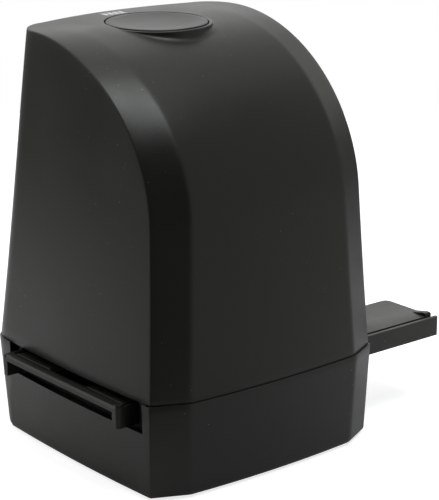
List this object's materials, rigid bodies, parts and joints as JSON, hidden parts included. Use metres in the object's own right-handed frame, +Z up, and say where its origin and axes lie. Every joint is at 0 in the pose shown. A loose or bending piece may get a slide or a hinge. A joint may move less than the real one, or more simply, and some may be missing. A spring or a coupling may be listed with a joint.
{
  "type": "film negative scanner",
  "caption": "Desktop film scanner with an arched housing, a round scan button and a film holder that slides through its base.",
  "frame": {"origin": "on the table, below the centre of the whole part's box with the film holder at rest", "axes": "+X along the film holder, towards its handle; -Y the arched side; +Y the leaning user side with the socket; +Z up"},
  "size_m": [0.164, 0.119, 0.162],
  "materials": {
    "housing_plastic": "fine-grained satin charcoal, as moulded",
    "button_plastic": "satin charcoal, smoother than the shells",
    "inner_plastic": "flat black, to keep stray light down",
    "holder_plastic": "satin dark grey",
    "white_plastic": "matt white, to scatter light",
    "diffuser_plastic": "milky, even",
    "rubber": "matt",
    "screw_steel": "zinc plated",
    "spring_steel": "drawn and polished",
    "board_green": "solder mask over glass fibre",
    "board_white": "white solder mask",
    "led_white": "white body with a pale yellow cell",
    "barrel_black": "black anodised",
    "lens_glass": "coated, polished",
    "filter_glass": "coated, polished",
    "chip_black": "moulded epoxy",
    "socket_steel": "tin plated sheet",
    "connector_cream": "moulded nylon",
    "flat_lead": "laminated film"
  },
  "bodies": {
    "housing": {"upper_housing": "housing_plastic", "lower_housing": "housing_plastic", "rubber_feet": "rubber", "housing_screws": "screw_steel", "film_stage": "inner_plastic", "stage_screws": "screw_steel", "detent_spring": "spring_steel", "film_gate": "inner_plastic", "gate_screws": "screw_steel", "light_box": "white_plastic", "diffuser": "diffuser_plastic", "backlight_board": "board_white", "backlight_leds": "led_white", "optics_tower": "inner_plastic", "tower_screws": "screw_steel", "lens_holder": "inner_plastic", "lens_holder_screws": "screw_steel", "lens_barrel": "barrel_black", "lens_elements": "lens_glass", "lens_spacers": "barrel_black", "ir_filter": "filter_glass", "image_sensor": "chip_black", "sensor_board": "board_green", "sensor_board_screws": "screw_steel", "main_board": "board_green", "controller_chip": "chip_black", "memory_chip": "chip_black", "board_connectors": "connector_cream", "main_board_screws": "screw_steel", "usb_socket": "socket_steel", "usb_contacts": "chip_black", "sensor_ribbon": "flat_lead", "backlight_ribbon": "flat_lead", "switch_ribbon": "flat_lead", "button_guide": "inner_plastic", "guide_screws": "screw_steel", "button_spring": "spring_steel", "switch_board": "board_green", "switch_board_screws": "screw_steel", "tactile_switch": "chip_black"},
    "film_holder": {"film_holder_frame": "holder_plastic", "film_holder_cover": "holder_plastic", "holder_hinge_pins": "spring_steel"},
    "button": {"scan_button": "button_plastic", "stem_clip": "spring_steel"},
    "plunger": {"switch_plunger": "chip_black"}
  },
  "joints": [
    {"name": "holder_slide", "type": "slide", "parent": "housing", "child": "film_holder", "axis": [1, 0, 0], "range_m": [-0.042, 0.095]},
    {"name": "button_press", "type": "slide", "parent": "housing", "child": "button", "axis": [0, 0, -1], "range_m": [0, 0.0005], "stiffness_N_per_m": 1500, "springref_m": -0.001, "deforming": ["button_spring"]},
    {"name": "plunger_press", "type": "slide", "parent": "housing", "child": "plunger", "axis": [0, 0, -1], "range_m": [0, 0.0005]}
  ],
  "couplings": [
    {"joint": "plunger_press", "follows": "button_press", "ratio": 1}
  ]
}
